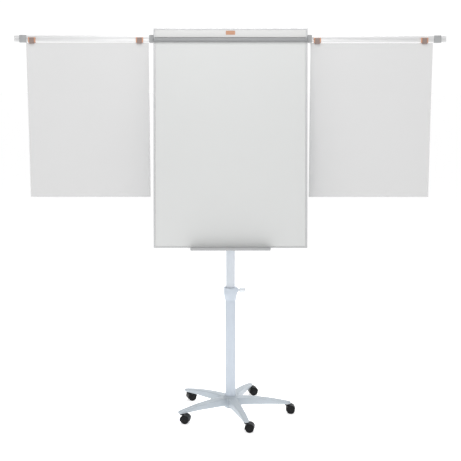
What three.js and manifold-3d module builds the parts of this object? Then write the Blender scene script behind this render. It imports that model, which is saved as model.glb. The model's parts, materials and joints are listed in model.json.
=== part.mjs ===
// Mobile flipchart easel: a magnetic whiteboard on a telescopic column, with a five-armed castor base
// and two display arms that pull out sideways from behind the board.
// Millimetres, +Z up, +X to the reader's right, the board faces -Y.
// The origin is on the floor, on the column's axis.

import * as THREE from 'three';
import { mergeVertices } from 'three/addons/utils/BufferGeometryUtils.js';
import Module from 'manifold-3d';

const wasm = await Module();
wasm.setup();

// ---------------------------------------------------------------- driving dimensions

const GAP = 0.3; // between solids that touch

const BOARD = { width: 700, height: 1000, depth: 15, leanDeg: 9.5, y: -78, z: 1329 };
const FRAME_BAR = 8;
const PANEL_FRONT = 1.7;
const HEADER = { bottom: 457.7, proud: 2.5, rebate: 0.6 };
const BADGE = { width: 42, height: 18, thick: 1.2 };

const PAD_CLAMP = { pivotY: -4.9, pivotZ: 451.8, round: 4.5, bottom: 437.3, front: -12, wall: 2.2 };
const HOOK = { x: 140, z: 441.8, radius: 2 };

const TRAY = { half: 181, depth: 46, top: -496, bottom: -510, wall: 2, gapToFrame: 0.4 };

const ARM = { height: 28, thick: 9, centreZ: 456, inner: 150, outer: 987 };
const RAIL = { half: 342, wall: 2.3, front: 15.3, bushOut: 371 };
const ARM_STOP = { from: 931, to: 963, height: 33, thick: 19 };
const CLIP = { width: 32, depth: 4.5, jawWidth: 22, top: 5, web: 2.6 };
const CLIP_X = { left: { inner: 415, outer: 906 }, right: { inner: 397, outer: 887 } };
const SHEET = { width: 560, length: 711, thick: 0.6, innerLeft: 373, innerRight: 366, grip: 5.3 };

const COLUMN = { lower: 24.5, lowerWall: 2, upper: 21, upperWall: 1.6 };
const LOWER_TOP = 586;
const UPPER = { bottom: 318, top: 1488 };
const COLLAR = { bottom: 559, top: 619, radius: 31.5, knobZ: 605 };
const KNOB = { from: 36, to: 70.5, radius: 10.6 };
const BRACKET = { halfWidth: 55, plateBottom: 0, plateTop: 172, thick: 4, boltZ: [1383, 1463] };

const BASE = { firstDeg: -3, hubRadius: 34, bossRadius: 28.5, hubBottom: 27, hubTop: 86, stemRadius: 272 };
const BASE_ARM = {
  rootHalf: 21.5,
  tipHalf: 13,
  rootTop: 80,
  crownTop: 83,
  tipTop: 60,
  rootBottom: 43,
  crownBottom: 49.5,
  tipBottom: 47.5,
  beyondStem: 6,
};
const WHEEL = { radius: 20, width: 16.5, offset: 4.2, trail: 18, bore: 3.3 };
const CASTERS = [
  { name: 'caster_right', turnDeg: 0 },
  { name: 'caster_back_right', turnDeg: 12 },
  { name: 'caster_back_left', turnDeg: 20 },
  { name: 'caster_front_left', turnDeg: -15 },
  { name: 'caster_front', turnDeg: -5 },
];

// ---------------------------------------------------------------- materials

const paint = (color, roughness, metalness) => () =>
  new THREE.MeshStandardMaterial({ color, roughness, metalness });

const finish = {
  powder: paint(0xcdd6e0, 0.45, 0.1),
  chromeTube: paint(0xd5dde5, 0.3, 0.4),
  white: paint(0xe9ebe8, 0.25, 0),
  aluminium: paint(0xc9cbcc, 0.35, 0.8),
  grey: paint(0x8f9193, 0.5, 0.1),
  darkGrey: paint(0x8d9092, 0.5, 0),
  black: paint(0x1d1d20, 0.55, 0),
  tyre: paint(0x2a2a2d, 0.8, 0),
  orange: paint(0xe08a58, 0.5, 0),
  jaw: paint(0x8f7c76, 0.5, 0),
  paper: paint(0xe9e9e9, 0.9, 0),
  steel: paint(0xb9bdc2, 0.3, 0.9),
};

// ---------------------------------------------------------------- helpers

const rad = THREE.MathUtils.degToRad;

function toManifold(geometry) {
  const bare = geometry.index ? geometry.toNonIndexed() : geometry.clone();
  bare.deleteAttribute('normal');
  bare.deleteAttribute('uv');
  const merged = mergeVertices(bare, 1e-4);
  const triVerts = new Uint32Array(merged.index.array);
  const vertProperties = new Float32Array(merged.attributes.position.array);
  return new wasm.Manifold(new wasm.Mesh({ numProp: 3, vertProperties, triVerts }));
}

function fromManifold(solid) {
  const { vertProperties, triVerts } = solid.getMesh();
  const geometry = new THREE.BufferGeometry();
  geometry.setAttribute('position', new THREE.BufferAttribute(vertProperties, 3));
  geometry.setIndex(new THREE.BufferAttribute(triVerts, 1));
  geometry.computeVertexNormals();
  return geometry;
}

function join(...geometries) {
  return fromManifold(geometries.map(toManifold).reduce((a, b) => a.add(b)));
}

function cut(body, ...tools) {
  return fromManifold(tools.map(toManifold).reduce((a, b) => a.subtract(b), toManifold(body)));
}

function overlap(a, b) {
  return fromManifold(toManifold(a).intersect(toManifold(b)));
}

// A box from its lowest to its highest corner.
function slab(x0, x1, y0, y1, z0, z1) {
  const box = new THREE.BoxGeometry(x1 - x0, y1 - y0, z1 - z0);
  return box.translate((x0 + x1) / 2, (y0 + y1) / 2, (z0 + z1) / 2);
}

// A closed ring or rod turned about Z: points are [radius, z].
function turned(points, segments = 24) {
  const closed = [...points, points[0]].map(([r, z]) => new THREE.Vector2(r, z));
  return new THREE.LatheGeometry(closed, segments).rotateX(Math.PI / 2);
}

function tube(outer, inner, z0, z1, segments = 24) {
  return turned([[inner, z0], [outer, z0], [outer, z1], [inner, z1]], segments);
}

function rod(radius, z0, z1, segments = 12) {
  const cylinder = new THREE.CylinderGeometry(radius, radius, z1 - z0, segments);
  return cylinder.rotateX(Math.PI / 2).translate(0, 0, (z0 + z1) / 2);
}

// A rod along +X at the given y and z.
function rodX(radius, x0, x1, y, z, segments = 12) {
  return rod(radius, x0, x1, segments).rotateY(Math.PI / 2).translate(0, y, z);
}

// A rod along +Y at the given x and z.
function rodY(radius, y0, y1, x, z, segments = 12) {
  return rod(radius, -y1, -y0, segments).rotateX(Math.PI / 2).translate(x, 0, z);
}

function outline(points) {
  return new THREE.Shape(points.map(([u, v]) => new THREE.Vector2(u, v)));
}

// An outline in [y, z], drawn out along X.
function alongX(shape, x0, x1, curveSegments = 8) {
  const options = { depth: x1 - x0, bevelEnabled: false, curveSegments };
  const solid = new THREE.ExtrudeGeometry(shape, options);
  return solid.rotateX(Math.PI / 2).rotateZ(Math.PI / 2).translate(x0, 0, 0);
}

// An outline in [x, z], drawn out along Y.
function alongY(shape, y0, y1, curveSegments = 8) {
  const options = { depth: y1 - y0, bevelEnabled: false, curveSegments };
  return new THREE.ExtrudeGeometry(shape, options).rotateX(Math.PI / 2).translate(0, y1, 0);
}

// An outline in [x, y], drawn out along Z.
function alongZ(shape, z0, z1, curveSegments = 8) {
  const options = { depth: z1 - z0, bevelEnabled: false, curveSegments };
  return new THREE.ExtrudeGeometry(shape, options).translate(0, 0, z0);
}

function piece(parent, name, geometry, look) {
  const mesh = new THREE.Mesh(geometry, finish[look]());
  mesh.name = name;
  parent.add(mesh);
  return mesh;
}

function group(parent, x, y, z) {
  const made = new THREE.Group();
  made.position.set(x, y, z);
  parent.add(made);
  return made;
}

// ---------------------------------------------------------------- star base

const HUB_FLOOR = 8;

function baseArm() {
  const { rootHalf, tipHalf, rootTop, crownTop, tipTop } = BASE_ARM;
  const { rootBottom, crownBottom, tipBottom, beyondStem } = BASE_ARM;
  const tip = BASE.stemRadius + beyondStem;
  const plan = new THREE.Shape();
  plan.moveTo(24, -rootHalf);
  plan.lineTo(tip, -tipHalf);
  plan.absarc(tip, 0, tipHalf, -Math.PI / 2, Math.PI / 2, false);
  plan.lineTo(24, rootHalf);
  plan.closePath();
  const side = new THREE.Shape();
  side.moveTo(20, rootBottom);
  side.lineTo(34, rootBottom);
  side.quadraticCurveTo(150, crownBottom, 246, tipBottom);
  side.lineTo(300, tipBottom);
  side.lineTo(300, tipTop - 8);
  side.quadraticCurveTo(292, tipTop - 1, 272, tipTop);
  side.quadraticCurveTo(150, crownTop, 20, rootTop);
  side.closePath();
  return overlap(alongZ(plan, 30, 110), alongY(side, -40, 40));
}

function starBase() {
  const { hubRadius, bossRadius, hubBottom, hubTop, stemRadius, firstDeg } = BASE;
  const chamfer = 3;
  const bossTop = BASE_ARM.rootBottom + 1;
  const hub = turned([
    [0, hubBottom],
    [bossRadius - 1.5, hubBottom],
    [bossRadius, hubBottom + 1.5],
    [bossRadius, bossTop],
    [hubRadius, bossTop + chamfer],
    [hubRadius, hubTop - chamfer],
    [hubRadius - chamfer, hubTop],
    [0, hubTop],
  ], 30);
  const arms = CASTERS.map((_, i) => baseArm().rotateZ(rad(firstDeg + 72 * i)));
  const socket = (i) =>
    rod(5.8, 38, BASE_ARM.tipTop - 3).translate(stemRadius, 0, 0).rotateZ(rad(firstDeg + 72 * i));
  const bore = rod(COLUMN.lower + GAP + 0.2, hubBottom + HUB_FLOOR, hubTop + 10, 24);
  const boltHole = rod(6.3, hubBottom - 5, hubTop);
  return cut(join(hub, ...arms), bore, boltHole, ...CASTERS.map((_, i) => socket(i)));
}

// ---------------------------------------------------------------- castors

const STEM = { foot: 39.5, flange: 45, top: 56 };

function stem() {
  const { foot, flange, top } = STEM;
  return turned([
    [0, foot],
    [5.5, foot],
    [5.5, flange],
    [8.5, flange],
    [8.5, flange + 2],
    [5.5, flange + 2],
    [5.5, top],
    [0, top],
  ], 12);
}

function hood() {
  const { radius, trail, width, offset, bore } = WHEEL;
  const half = offset + width;
  const inner = radius + 1.2;
  const outer = inner + 2;
  const from = rad(8);
  const to = rad(200);
  const cover = new THREE.Shape();
  cover.absarc(0, 0, outer, from, to, false);
  cover.absarc(0, 0, inner, to, from, true);
  cover.closePath();
  const shell = alongY(cover, -half, half, 10).translate(trail, 0, radius);
  const webShape = new THREE.Shape();
  webShape.absarc(0, 0, inner + 0.6, from, to, false);
  webShape.absarc(0, 0, 8, to, from + 2 * Math.PI, false);
  webShape.closePath();
  const web = alongY(webShape, 0.6 - offset, offset - 0.6, 8).translate(trail, 0, radius);
  const boss = rod(9.5, STEM.foot - 1, STEM.flange - 0.5);
  const axle = rodY(bore - GAP, -half - 1.5, half + 1.5, trail, radius);
  return cut(join(shell, web, boss, axle), rod(5.7, STEM.foot - 0.4, STEM.flange + 2));
}

// One wheel, turned about its own axle, with a dished outer face.
function wheel() {
  const { radius, width, bore } = WHEEL;
  return turned([
    [bore, 0],
    [radius - 2, 0],
    [radius, 2],
    [radius, width - 3],
    [radius - 3, width],
    [radius - 6, width - 3],
    [bore, width - 3],
  ], 20);
}

function caster(parent, { name, turnDeg }, index) {
  const at = rad(BASE.firstDeg + 72 * index);
  const { stemRadius } = BASE;
  const swivel = group(parent, stemRadius * Math.cos(at), stemRadius * Math.sin(at), 0);
  swivel.rotation.z = rad(turnDeg);
  piece(swivel, `${name}_stem`, stem(), 'steel');
  piece(swivel, `${name}_hood`, hood(), 'black');
  for (const [side, sign] of [['a', -1], ['b', 1]]) {
    const made = piece(swivel, `${name}_wheel_${side}`, wheel(), 'tyre');
    made.position.set(WHEEL.trail, sign * WHEEL.offset, WHEEL.radius);
    made.rotation.x = sign * -Math.PI / 2;
  }
}

// ---------------------------------------------------------------- column

function lowerColumn() {
  const { lower, lowerWall } = COLUMN;
  const foot = BASE.hubBottom + HUB_FLOOR + GAP;
  return turned([
    [6.4, foot],
    [lower, foot],
    [lower, LOWER_TOP],
    [lower - lowerWall, LOWER_TOP],
    [lower - lowerWall, foot + 14],
    [6.4, foot + 14],
  ], 24);
}

function baseBolt() {
  const { hubBottom } = BASE;
  const head = rod(11, hubBottom - 7.5, hubBottom - GAP, 6);
  return join(head, rod(6, hubBottom - 2, hubBottom + 21));
}

const BUSH_FLANGE = { bottom: LOWER_TOP + GAP, top: LOWER_TOP + 3.7 };

function guideBush() {
  const inner = COLUMN.upper + 0.25;
  const outer = COLUMN.lower - COLUMN.lowerWall - 0.25;
  return turned([
    [inner, LOWER_TOP - 80],
    [outer, LOWER_TOP - 80],
    [outer, BUSH_FLANGE.bottom],
    [COLUMN.lower - 0.2, BUSH_FLANGE.bottom],
    [COLUMN.lower - 0.2, BUSH_FLANGE.top],
    [inner, BUSH_FLANGE.top],
  ], 24);
}

function clampCollar() {
  const { bottom, top, radius, knobZ } = COLLAR;
  const step = BUSH_FLANGE.top + GAP;
  const body = turned([
    [COLUMN.lower + GAP, bottom],
    [COLUMN.lower + 1.6, bottom],
    [radius - 1.5, bottom + 22],
    [radius, bottom + 30],
    [radius, top - 5],
    [radius - 2, top - 1],
    [radius - 5, top],
    [COLUMN.upper + 0.4, top],
    [COLUMN.upper + 0.4, step],
    [COLUMN.lower + GAP, step],
  ], 24);
  const boss = cut(rodX(12, 26, KNOB.from - GAP, 0, knobZ, 20), rod(26.5, bottom, top, 24));
  return cut(join(body, boss), rodX(4.3, 0, 50, 0, knobZ));
}

function clampKnob() {
  const { from, to, radius } = KNOB;
  const lobes = 6;
  const steps = 24;
  const grip = new THREE.Shape();
  for (let i = 0; i < steps; i++) {
    const a = (2 * Math.PI * i) / steps;
    const r = radius - 0.9 + 0.9 * Math.cos(lobes * a);
    if (i === 0) grip.moveTo(r * Math.cos(a), r * Math.sin(a));
    else grip.lineTo(r * Math.cos(a), r * Math.sin(a));
  }
  grip.closePath();
  const bevel = 1.5;
  const options = {
    depth: to - from - 8 - 2 * bevel,
    bevelThickness: bevel,
    bevelSize: bevel,
    bevelOffset: -bevel,
    bevelSegments: 1,
  };
  const handle = new THREE.ExtrudeGeometry(grip, options).rotateY(Math.PI / 2);
  handle.translate(from + 8 + bevel, 0, 0);
  const neck = rodX(7, from, from + 9, 0, 0);
  const stud = rodX(4, COLUMN.upper + 0.4, from + 2, 0, 0);
  return join(handle, neck, stud);
}

function upperColumn() {
  const { upper, upperWall } = COLUMN;
  const shell = tube(upper, upper - upperWall, UPPER.bottom, UPPER.top);
  return cut(shell, ...BRACKET.boltZ.map((z) => rodX(4.3, -30, 30, 0, z)));
}

function bracketBolt(z) {
  const cheek = COLUMN.upper + 0.5 + BRACKET.thick;
  const head = rodX(7, cheek + GAP, cheek + 6, 0, z, 6);
  const nut = rodX(7.5, -cheek - 7, -cheek - GAP, 0, z, 6);
  return join(head, nut, rodX(4, -cheek - 10, cheek + 2, 0, z));
}

// The bracket is made in the easel's frame: its plate leans with the board, its cheeks hold the column.
function headBracket() {
  const { halfWidth, plateBottom, plateTop, thick, boltZ } = BRACKET;
  const lean = rad(BOARD.leanDeg);
  const back = BOARD.depth + GAP;
  const onBoard = (y, z) => [
    BOARD.y + y * Math.cos(lean) + z * Math.sin(lean),
    BOARD.z - y * Math.sin(lean) + z * Math.cos(lean),
  ];
  const plate = outline([
    onBoard(back, plateBottom),
    onBoard(back + thick, plateBottom),
    onBoard(back + thick, plateTop),
    onBoard(back, plateTop),
  ]);
  const cheek = outline([
    onBoard(back + 1, plateBottom + 12),
    [24, boltZ[0] - 22],
    [24, boltZ[1] + 20],
    onBoard(back + 1, plateTop - 8),
  ]);
  const near = COLUMN.upper + 0.5;
  const body = join(
    alongX(plate, -halfWidth, halfWidth),
    alongX(cheek, near, near + thick),
    alongX(cheek, -near - thick, -near),
  );
  return cut(body, ...boltZ.map((z) => rodX(4.3, -30, 30, 0, z)));
}

// ---------------------------------------------------------------- board

const HALF_W = BOARD.width / 2;
const HALF_H = BOARD.height / 2;
const PANEL_X = HALF_W - FRAME_BAR - GAP;
const PANEL_Z = HALF_H - FRAME_BAR - GAP;

function boardFrame(board) {
  const side = HALF_H - FRAME_BAR - GAP;
  const { depth } = BOARD;
  const bar = (x0, x1, z0, z1) => slab(x0, x1, 0, depth, z0, z1);
  piece(board, 'frame_left', bar(-HALF_W, FRAME_BAR - HALF_W, -side, side), 'aluminium');
  piece(board, 'frame_right', bar(HALF_W - FRAME_BAR, HALF_W, -side, side), 'aluminium');
  piece(board, 'frame_top', bar(-HALF_W, HALF_W, HALF_H - FRAME_BAR, HALF_H), 'aluminium');
  piece(board, 'frame_bottom', bar(-HALF_W, HALF_W, -HALF_H, FRAME_BAR - HALF_H), 'aluminium');
}

function boardFace(board) {
  const panel = slab(-PANEL_X, PANEL_X, PANEL_FRONT, BOARD.depth, -PANEL_Z, PANEL_Z);
  const pegHole = (x) => rodY(HOOK.radius + GAP, 0, 8, x, HOOK.z);
  const headerBack = PANEL_FRONT + HEADER.rebate;
  const [wide, tall] = [PANEL_X + 1, PANEL_Z + 1];
  const rebate = slab(-wide, wide, 0, headerBack, HEADER.bottom - GAP, tall);
  const face = cut(panel, rebate, pegHole(-HOOK.x), pegHole(HOOK.x));
  piece(board, 'board_panel', face, 'white');
  const front = -HEADER.proud;
  const header = slab(-PANEL_X, PANEL_X, front, headerBack - GAP, HEADER.bottom, PANEL_Z);
  piece(board, 'header_strip', header, 'white');
  const middle = (HEADER.bottom + HALF_H) / 2;
  const half = BADGE.height / 2;
  const plate = alongY(
    roundedRect(BADGE.width / 2, half, 3),
    front - GAP - BADGE.thick,
    front - GAP,
    4,
  );
  piece(board, 'header_badge', plate, 'orange').position.z = middle;
}

// A rectangle about the origin with rounded corners.
function roundedRect(halfU, halfV, r) {
  const shape = new THREE.Shape();
  shape.absarc(halfU - r, halfV - r, r, 0, Math.PI / 2, false);
  shape.absarc(r - halfU, halfV - r, r, Math.PI / 2, Math.PI, false);
  shape.absarc(r - halfU, r - halfV, r, Math.PI, 1.5 * Math.PI, false);
  shape.absarc(halfU - r, r - halfV, r, 1.5 * Math.PI, 2 * Math.PI, false);
  shape.closePath();
  return shape;
}

// The clamp bar is a channel, open towards the board, that turns about a pin at its top edge.
function padClamp(board) {
  const { pivotY, pivotZ, round, bottom, front, wall } = PAD_CLAMP;
  const back = pivotY + round;
  const profile = new THREE.Shape();
  profile.moveTo(back, pivotZ - 6.5);
  profile.lineTo(back, pivotZ);
  profile.absarc(pivotY, pivotZ, round, 0, Math.PI, false);
  profile.lineTo(front, pivotZ - 7);
  profile.lineTo(front, bottom + 3);
  profile.lineTo(front + 2.5, bottom);
  profile.lineTo(back, bottom);
  profile.lineTo(back, bottom + wall);
  profile.lineTo(front + 3.4, bottom + wall);
  profile.lineTo(front + wall, bottom + wall + 1.2);
  profile.lineTo(front + wall, pivotZ - 8);
  profile.lineTo(front + 4, pivotZ - 6.5);
  profile.closePath();
  const half = HALF_W - 1;
  const hole = (x0, x1) => rodX(2.2, x0, x1, pivotY, pivotZ);
  const bar = cut(alongX(profile, -half, half), hole(-half - 5, 14 - half), hole(half - 14, half + 5));
  piece(board, 'pad_clamp_bar', bar, 'grey');
  piece(board, 'clamp_pivot_left', clampPivot(-1), 'darkGrey');
  piece(board, 'clamp_pivot_right', clampPivot(1), 'darkGrey');
}

// A plate on the outside of the frame, with the pin that the clamp bar's end turns on.
function clampPivot(sign) {
  const { pivotY, pivotZ } = PAD_CLAMP;
  const thick = 2.6;
  const outer = HALF_W + GAP + thick;
  const inner = HALF_W - 12;
  const ends = (a, b) => (sign > 0 ? [a, b] : [-b, -a]);
  const plate = alongX(roundedRect(13, 9, 4), ...ends(HALF_W + GAP, outer), 3);
  plate.translate(0, 0, pivotZ - 1);
  return join(plate, rodX(1.8, ...ends(inner, HALF_W + 2), pivotY, pivotZ));
}

// Pegs that the pad's punched holes hang on, behind the clamp bar.
function padHook(board, side, x) {
  piece(board, `pad_hook_${side}`, rodY(HOOK.radius, -2.4, 6, x, HOOK.z), 'steel');
}

function penTray() {
  const { half, depth, top, bottom, wall, gapToFrame } = TRAY;
  const back = -gapToFrame;
  const outer = new THREE.Shape();
  outer.moveTo(back, top);
  outer.lineTo(back, bottom);
  outer.lineTo(back - depth + 6, bottom);
  outer.quadraticCurveTo(back - depth, bottom, back - depth, bottom + 6);
  outer.lineTo(back - depth, top);
  outer.closePath();
  const hollow = new THREE.Shape();
  hollow.moveTo(back - wall, top + 5);
  hollow.lineTo(back - wall, bottom + wall);
  hollow.lineTo(back - depth + wall + 4, bottom + wall);
  hollow.quadraticCurveTo(back - depth + wall, bottom + wall, back - depth + wall, bottom + wall + 4);
  hollow.lineTo(back - depth + wall, top + 5);
  hollow.closePath();
  return cut(alongX(outer, -half, half, 4), alongX(hollow, wall - half, half - wall, 4));
}

// ---------------------------------------------------------------- display arms

const CHANNEL = ARM.thick + 2 * GAP;
const CHANNEL_Y = [0, 1].map((i) => RAIL.front + RAIL.wall + i * (CHANNEL + RAIL.wall));
const RAIL_BACK = CHANNEL_Y[1] + CHANNEL + RAIL.wall;
const RAIL_HALF_H = ARM.height / 2 + GAP + RAIL.wall;

function channel(i, x0, x1) {
  const half = ARM.height / 2 + GAP;
  const y = CHANNEL_Y[i];
  return slab(x0, x1, y, y + CHANNEL, ARM.centreZ - half, ARM.centreZ + half);
}

function railBlock(x0, x1) {
  return slab(x0, x1, RAIL.front, RAIL_BACK, ARM.centreZ - RAIL_HALF_H, ARM.centreZ + RAIL_HALF_H);
}

function armRail() {
  const { half } = RAIL;
  return cut(railBlock(-half, half), channel(0, -400, 400), channel(1, -400, 400));
}

// Each arm leaves through its own channel: the left one in front, the right one behind it.
function railBush(index, sign) {
  const from = RAIL.half + GAP;
  const [x0, x1] = sign < 0 ? [-RAIL.bushOut, -from] : [from, RAIL.bushOut];
  return cut(railBlock(x0, x1), channel(index, -400, 400));
}

// A dovetail in the arm's front face: a groove, and the key on each clip that slides in it.
const GROOVE = { mouth: 2.6, floor: 3.6, depth: 2.8 };

function armBar(sign) {
  const { height, thick, inner, outer, centreZ } = ARM;
  const { mouth, floor, depth } = GROOVE;
  const crown = 3;
  const [h, t] = [height / 2, thick / 2];
  const profile = outline([
    [-t, -h + 2],
    [-t + 1.5, -h],
    [t - 1.5, -h],
    [t, -h + 2],
    [t, h - crown],
    [t - 2.5, h],
    [-t + 2.5, h],
    [-t, h - crown],
    [-t, mouth],
    [-t + depth, floor],
    [-t + depth, -floor],
    [-t, -mouth],
  ]);
  const [x0, x1] = sign < 0 ? [-outer, -inner] : [inner, outer];
  return alongX(profile, x0, x1).translate(0, 0, centreZ);
}

function armStop(sign) {
  const { from, to, height, thick } = ARM_STOP;
  const block = alongX(roundedRect(thick / 2, height / 2, 3), from, to, 4);
  const { height: h, thick: t } = ARM;
  const way = slab(from - 5, to + 5, -t / 2 - GAP, t / 2 + GAP, -h / 2 - GAP, h / 2 + GAP);
  const made = cut(block, way);
  return (sign < 0 ? made.translate(-from - to, 0, 0) : made).translate(0, 0, ARM.centreZ);
}

// Clip shapes are about the arm's centre line. The body's key slides in the arm's groove, a web passes
// under the arm to a rear jaw, and the front jaw turns on a pin and presses the paper against it.
const ARM_FRONT = -ARM.thick / 2;
const WEB_TOP = -ARM.height / 2 - GAP;
const WEB_BOTTOM = WEB_TOP - CLIP.web;
const GRIP_BOTTOM = WEB_BOTTOM - SHEET.grip - GAP;
const BODY_FRONT = ARM_FRONT - GAP - CLIP.depth;
const JAW = { thick: 3.6, pin: 1.5, gap: 0.4, pivotZ: 2 };
JAW.round = JAW.thick / 2;
JAW.pivotY = BODY_FRONT - JAW.gap - JAW.round;

function clipBody() {
  const { width, jawWidth, top } = CLIP;
  const half = width / 2;
  const rearFace = SHEET.thick / 2 + GAP;
  const rearBack = rearFace + 3;
  const keyRoot = ARM_FRONT - GAP;
  const keyEnd = ARM_FRONT + GROOVE.depth - GAP - 0.1;
  const keyMouth = GROOVE.mouth - 0.4;
  const keyHalf = GROOVE.floor - 0.45;
  const profile = outline([
    [BODY_FRONT, top],
    [keyRoot, top],
    [keyRoot, keyMouth],
    [keyEnd, keyHalf],
    [keyEnd, -keyHalf],
    [keyRoot, -keyMouth],
    [keyRoot, WEB_TOP],
    [rearBack, WEB_TOP],
    [rearBack, GRIP_BOTTOM],
    [rearFace, GRIP_BOTTOM],
    [rearFace, WEB_BOTTOM],
    [BODY_FRONT, WEB_BOTTOM],
  ]);
  const earFront = JAW.pivotY - JAW.round;
  const jawHalf = jawWidth / 2 + 0.5;
  const ear = (x0, x1) => slab(x0, x1, earFront, BODY_FRONT + 0.5, JAW.pivotZ - 5, top);
  const body = join(alongX(profile, -half, half), ear(jawHalf, half), ear(-half, -jawHalf));
  return cut(body, rodX(JAW.pin + GAP, -half - 1, half + 1, JAW.pivotY, JAW.pivotZ));
}

function clipJaw() {
  const { round, pivotY, pivotZ, pin } = JAW;
  const foot = -SHEET.thick / 2 - GAP;
  const footTop = WEB_BOTTOM - GAP;
  const profile = new THREE.Shape();
  profile.moveTo(pivotY - round, GRIP_BOTTOM);
  profile.lineTo(foot, GRIP_BOTTOM);
  profile.lineTo(foot, footTop);
  profile.lineTo(pivotY + round, footTop);
  profile.lineTo(pivotY + round, pivotZ);
  profile.absarc(pivotY, pivotZ, round, 0, Math.PI, false);
  profile.closePath();
  const half = CLIP.jawWidth / 2;
  const plate = alongX(profile, -half, half, 6);
  const pinHalf = CLIP.width / 2 - 0.5;
  return join(plate, rodX(pin, -pinHalf, pinHalf, pivotY, pivotZ));
}

// A sheet hangs plumb while the board leans, so it bends once, just below the clips' jaws.
function hangingSheet(x0, x1) {
  const { length, thick } = SHEET;
  const half = thick / 2;
  const top = WEB_BOTTOM - GAP;
  const bend = GRIP_BOTTOM - 1;
  const lean = rad(BOARD.leanDeg);
  const fall = length - top + bend;
  const [dy, dz] = [Math.sin(lean) * fall, -Math.cos(lean) * fall];
  const profile = outline([
    [-half, top],
    [-half, bend],
    [-half + dy, bend + dz],
    [half + dy, bend + dz],
    [half, bend],
    [half, top],
  ]);
  return alongX(profile, x0, x1);
}

function displayArm(board, side, sign) {
  const index = sign < 0 ? 0 : 1;
  const centreY = CHANNEL_Y[index] + CHANNEL / 2;
  const at = group(board, 0, centreY, 0);
  piece(board, `rail_bush_${side}`, railBush(index, sign), 'darkGrey');
  piece(at, `arm_${side}`, armBar(sign), 'aluminium');
  piece(at, `arm_stop_${side}`, armStop(sign), 'darkGrey');
  const hung = group(at, 0, 0, ARM.centreZ);
  for (const [place, x] of Object.entries(CLIP_X[side])) {
    const clip = group(hung, sign * x, 0, 0);
    piece(clip, `clip_${side}_${place}`, clipBody(), 'orange');
    piece(clip, `clip_jaw_${side}_${place}`, clipJaw(), 'jaw');
  }
  const [x0, x1] = sign < 0
    ? [-SHEET.innerLeft - SHEET.width, -SHEET.innerLeft]
    : [SHEET.innerRight, SHEET.innerRight + SHEET.width];
  piece(hung, `sheet_${side}`, hangingSheet(x0, x1), 'paper');
}

// ---------------------------------------------------------------- assembly

const easel = new THREE.Group();

piece(easel, 'star_base', starBase(), 'powder');
piece(easel, 'base_bolt', baseBolt(), 'steel');
CASTERS.forEach((each, i) => caster(easel, each, i));

piece(easel, 'lower_column', lowerColumn(), 'powder');
piece(easel, 'guide_bush', guideBush(), 'darkGrey');
piece(easel, 'clamp_collar', clampCollar(), 'powder');
piece(easel, 'clamp_knob', clampKnob(), 'grey').position.z = COLLAR.knobZ;
piece(easel, 'upper_column', upperColumn(), 'chromeTube');
piece(easel, 'head_bracket', headBracket(), 'powder');
BRACKET.boltZ.forEach((z, i) => piece(easel, `bracket_bolt_${i + 1}`, bracketBolt(z), 'steel'));

const board = group(easel, 0, BOARD.y, BOARD.z);
board.rotation.x = rad(-BOARD.leanDeg);
boardFrame(board);
boardFace(board);
padClamp(board);
padHook(board, 'left', -HOOK.x);
padHook(board, 'right', HOOK.x);
piece(board, 'pen_tray', penTray(), 'grey');
piece(board, 'arm_rail', armRail(), 'aluminium');
displayArm(board, 'left', -1);
displayArm(board, 'right', 1);

export default easel;
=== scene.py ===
import json
import math

import bmesh
import bpy
from mathutils import Matrix, Vector


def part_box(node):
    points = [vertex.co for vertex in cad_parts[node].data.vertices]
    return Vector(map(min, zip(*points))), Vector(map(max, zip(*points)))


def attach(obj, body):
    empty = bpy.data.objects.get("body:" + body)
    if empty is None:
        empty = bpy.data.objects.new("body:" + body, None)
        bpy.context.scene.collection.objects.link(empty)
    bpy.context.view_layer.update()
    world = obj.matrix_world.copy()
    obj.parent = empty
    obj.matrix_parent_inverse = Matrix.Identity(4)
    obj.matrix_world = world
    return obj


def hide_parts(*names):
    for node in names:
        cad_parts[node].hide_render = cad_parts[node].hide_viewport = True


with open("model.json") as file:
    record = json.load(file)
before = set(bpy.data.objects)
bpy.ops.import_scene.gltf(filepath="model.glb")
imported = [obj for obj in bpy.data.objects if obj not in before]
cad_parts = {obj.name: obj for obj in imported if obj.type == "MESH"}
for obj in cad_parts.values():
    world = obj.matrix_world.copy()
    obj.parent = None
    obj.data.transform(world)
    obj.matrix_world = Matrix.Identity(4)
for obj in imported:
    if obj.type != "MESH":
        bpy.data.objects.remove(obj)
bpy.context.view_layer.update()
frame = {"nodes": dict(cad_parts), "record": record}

MM = 0.001


# ---------------------------------------------------------------- where things are


def middle(node):
    low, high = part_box(node)
    return (low + high) / 2


def mount(name):
    return next(m for m in frame["record"]["mounts"] if m["name"] == name)


facing = Vector(mount("board_face")["axis"])
LEAN = math.atan2(facing.z, -facing.y)
TURN = Matrix.Rotation(-LEAN, 4, "X")
BOARD_DEPTH = 15
# the board's own frame: its face looks along -Y, its origin is the middle of the frame's front
BOARD_AT = middle("frame_left") * Vector((0, 1, 1)) - TURN @ Vector((0, BOARD_DEPTH / 2, 0)) * MM
BOARD_AT.x = 0
BOARD = Matrix.Translation(BOARD_AT) @ TURN


def on_board(node):
    """The middle of a CAD node in the board's own frame, in millimetres."""
    return (BOARD.inverted() @ middle(node)) / MM


def shifted(place, x=0, y=0, z=0):
    """The same place moved by millimetres along its own axes."""
    return place @ Matrix.Translation(Vector((x, y, z)) * MM)


# ---------------------------------------------------------------- materials


def nodes_of(name):
    material = bpy.data.materials.new(name)
    material.use_nodes = True
    tree = material.node_tree
    shader = tree.nodes["Principled BSDF"]
    return material, tree, shader


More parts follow.
